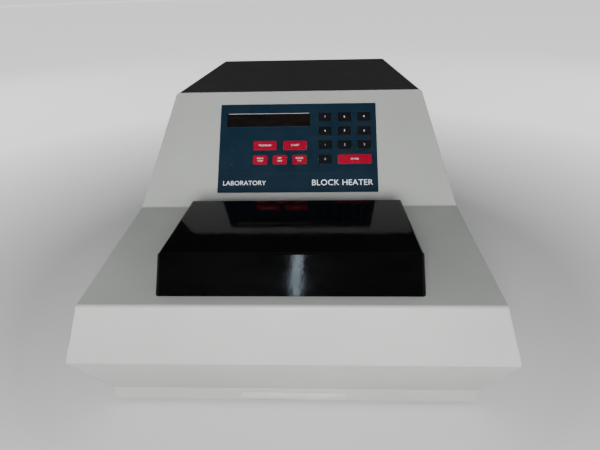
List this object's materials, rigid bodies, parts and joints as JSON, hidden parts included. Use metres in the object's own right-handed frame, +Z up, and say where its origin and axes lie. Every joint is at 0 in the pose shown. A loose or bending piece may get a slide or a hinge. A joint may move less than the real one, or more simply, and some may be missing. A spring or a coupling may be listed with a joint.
{
  "type": "dry block heater",
  "caption": "Bench dry block heater: facetted grey console with a sloped keypad, black rear hood, and a hinged black lid over lift-out tube blocks on a heater plate.",
  "frame": {"origin": "centre of the footprint at the underside of the feet", "axes": "+Z up, -Y towards the user, +X to the user's right"},
  "size_m": [0.3368, 0.46, 0.2041],
  "materials": {
    "grey_paint": "fine textured light grey enamel",
    "black_paint": "satin black enamel",
    "lid_gloss": "polished black",
    "foam": "closed-cell foam",
    "overlay_film": "blue polyester film",
    "key_black": "matt",
    "key_red": "matt",
    "smoked_window": "smoked, polished",
    "indicator": "clear lens",
    "circuit_board": "solder resist",
    "block_metal": "machined",
    "sheet_steel": "plated",
    "bright_steel": "nickel plated",
    "insulation": "mineral fibre board",
    "silicone": "glass-reinforced silicone",
    "rubber": "matt",
    "black_plastic": "fine grain",
    "red_plastic": "matt",
    "fuse_glass": "clear",
    "ribbon": "flat grey cable",
    "label_film": "blank printed film"
  },
  "bodies": {
    "case": {"base_tray": "grey_paint", "front_console": "grey_paint", "rear_hood": "black_paint", "keypad_overlay": "overlay_film", "display_window": "smoked_window", "status_leds": "indicator", "keypad_circuit": "circuit_board", "display_module": "circuit_board", "control_board": "circuit_board", "power_board": "circuit_board", "heater_plate": "block_metal", "heat_sink": "block_metal", "chamber_liner": "sheet_steel", "chassis_plate": "sheet_steel", "chamber_brackets": "sheet_steel", "hinge_brackets": "sheet_steel", "board_posts": "sheet_steel", "transformer": "sheet_steel", "hinge_pins": "bright_steel", "case_screws": "bright_steel", "inlet_pins": "bright_steel", "fan_guard": "bright_steel", "temperature_probe": "bright_steel", "overheat_cutout": "bright_steel", "chamber_insulation": "insulation", "heater_mat": "silicone", "rubber_feet": "rubber", "power_inlet": "black_plastic", "switch_housing": "black_plastic", "fan_frame": "black_plastic", "heater_triac": "black_plastic", "reset_bush": "black_plastic", "ribbon_cable": "ribbon", "blank_label": "label_film"},
    "lid": {"lid": "lid_gloss", "lid_pad": "foam"},
    "tube_block_left": {"tube_block_left": "block_metal"},
    "tube_block_right": {"tube_block_right": "block_metal"},
    "power_rocker": {"power_rocker": "black_plastic"},
    "fuse_drawer": {"fuse_drawer": "black_plastic", "fuses": "fuse_glass"},
    "fan_rotor": {"fan_rotor": "black_plastic"},
    "reset_button": {"reset_button": "red_plastic"},
    "key_7": {"key_7": "key_black"},
    "key_8": {"key_8": "key_black"},
    "key_9": {"key_9": "key_black"},
    "key_4": {"key_4": "key_black"},
    "key_5": {"key_5": "key_black"},
    "key_6": {"key_6": "key_black"},
    "key_1": {"key_1": "key_black"},
    "key_2": {"key_2": "key_black"},
    "key_3": {"key_3": "key_black"},
    "key_0": {"key_0": "key_black"},
    "key_enter": {"key_enter": "key_red"},
    "key_upper_left": {"key_upper_left": "key_red"},
    "key_upper_right": {"key_upper_right": "key_red"},
    "key_lower_left": {"key_lower_left": "key_red"},
    "key_lower_middle": {"key_lower_middle": "key_red"},
    "key_lower_right": {"key_lower_right": "key_red"}
  },
  "joints": [
    {"name": "lid_hinge", "type": "hinge", "parent": "case", "child": "lid", "pos_m": [0, -0.0725, 0.1174], "axis": [-1, 0, 0], "range_deg": [0, 100]},
    {"name": "left_block_lift", "type": "slide", "parent": "case", "child": "tube_block_left", "axis": [0, 0, 1], "range_m": [0, 0.014]},
    {"name": "right_block_lift", "type": "slide", "parent": "case", "child": "tube_block_right", "axis": [0, 0, 1], "range_m": [0, 0.014]},
    {"name": "power_switch", "type": "hinge", "parent": "case", "child": "power_rocker", "pos_m": [0.03, 0.2244, 0.102], "axis": [1, 0, 0], "range_deg": [-6, 6]},
    {"name": "fuse_drawer_slide", "type": "slide", "parent": "case", "child": "fuse_drawer", "axis": [0, 1, 0], "range_m": [0, 0.016]},
    {"name": "fan_spin", "type": "hinge", "parent": "case", "child": "fan_rotor", "pos_m": [-0.062, 0.21, 0.122], "axis": [0, 1, 0], "continuous": true},
    {"name": "reset_press", "type": "slide", "parent": "case", "child": "reset_button", "axis": [0, -1, 0], "range_m": [0, 0.0015], "stiffness_N_per_m": 800, "springref_m": -0.001},
    {"name": "press_7", "type": "slide", "parent": "case", "child": "key_7", "axis": [0, 0.7524, -0.6587], "range_m": [0, 0.0005], "stiffness_N_per_m": 1500, "springref_m": -0.0005},
    {"name": "press_8", "type": "slide", "parent": "case", "child": "key_8", "axis": [0, 0.7524, -0.6587], "range_m": [0, 0.0005], "stiffness_N_per_m": 1500, "springref_m": -0.0005},
    {"name": "press_9", "type": "slide", "parent": "case", "child": "key_9", "axis": [0, 0.7524, -0.6587], "range_m": [0, 0.0005], "stiffness_N_per_m": 1500, "springref_m": -0.0005},
    {"name": "press_4", "type": "slide", "parent": "case", "child": "key_4", "axis": [0, 0.7524, -0.6587], "range_m": [0, 0.0005], "stiffness_N_per_m": 1500, "springref_m": -0.0005},
    {"name": "press_5", "type": "slide", "parent": "case", "child": "key_5", "axis": [0, 0.7524, -0.6587], "range_m": [0, 0.0005], "stiffness_N_per_m": 1500, "springref_m": -0.0005},
    {"name": "press_6", "type": "slide", "parent": "case", "child": "key_6", "axis": [0, 0.7524, -0.6587], "range_m": [0, 0.0005], "stiffness_N_per_m": 1500, "springref_m": -0.0005},
    {"name": "press_1", "type": "slide", "parent": "case", "child": "key_1", "axis": [0, 0.7524, -0.6587], "range_m": [0, 0.0005], "stiffness_N_per_m": 1500, "springref_m": -0.0005},
    {"name": "press_2", "type": "slide", "parent": "case", "child": "key_2", "axis": [0, 0.7524, -0.6587], "range_m": [0, 0.0005], "stiffness_N_per_m": 1500, "springref_m": -0.0005},
    {"name": "press_3", "type": "slide", "parent": "case", "child": "key_3", "axis": [0, 0.7524, -0.6587], "range_m": [0, 0.0005], "stiffness_N_per_m": 1500, "springref_m": -0.0005},
    {"name": "press_0", "type": "slide", "parent": "case", "child": "key_0", "axis": [0, 0.7524, -0.6587], "range_m": [0, 0.0005], "stiffness_N_per_m": 1500, "springref_m": -0.0005},
    {"name": "press_enter", "type": "slide", "parent": "case", "child": "key_enter", "axis": [0, 0.7524, -0.6587], "range_m": [0, 0.0005], "stiffness_N_per_m": 1500, "springref_m": -0.0005},
    {"name": "press_upper_left", "type": "slide", "parent": "case", "child": "key_upper_left", "axis": [0, 0.7524, -0.6587], "range_m": [0, 0.0005], "stiffness_N_per_m": 1500, "springref_m": -0.0005},
    {"name": "press_upper_right", "type": "slide", "parent": "case", "child": "key_upper_right", "axis": [0, 0.7524, -0.6587], "range_m": [0, 0.0005], "stiffness_N_per_m": 1500, "springref_m": -0.0005},
    {"name": "press_lower_left", "type": "slide", "parent": "case", "child": "key_lower_left", "axis": [0, 0.7524, -0.6587], "range_m": [0, 0.0005], "stiffness_N_per_m": 1500, "springref_m": -0.0005},
    {"name": "press_lower_middle", "type": "slide", "parent": "case", "child": "key_lower_middle", "axis": [0, 0.7524, -0.6587], "range_m": [0, 0.0005], "stiffness_N_per_m": 1500, "springref_m": -0.0005},
    {"name": "press_lower_right", "type": "slide", "parent": "case", "child": "key_lower_right", "axis": [0, 0.7524, -0.6587], "range_m": [0, 0.0005], "stiffness_N_per_m": 1500, "springref_m": -0.0005}
  ]
}
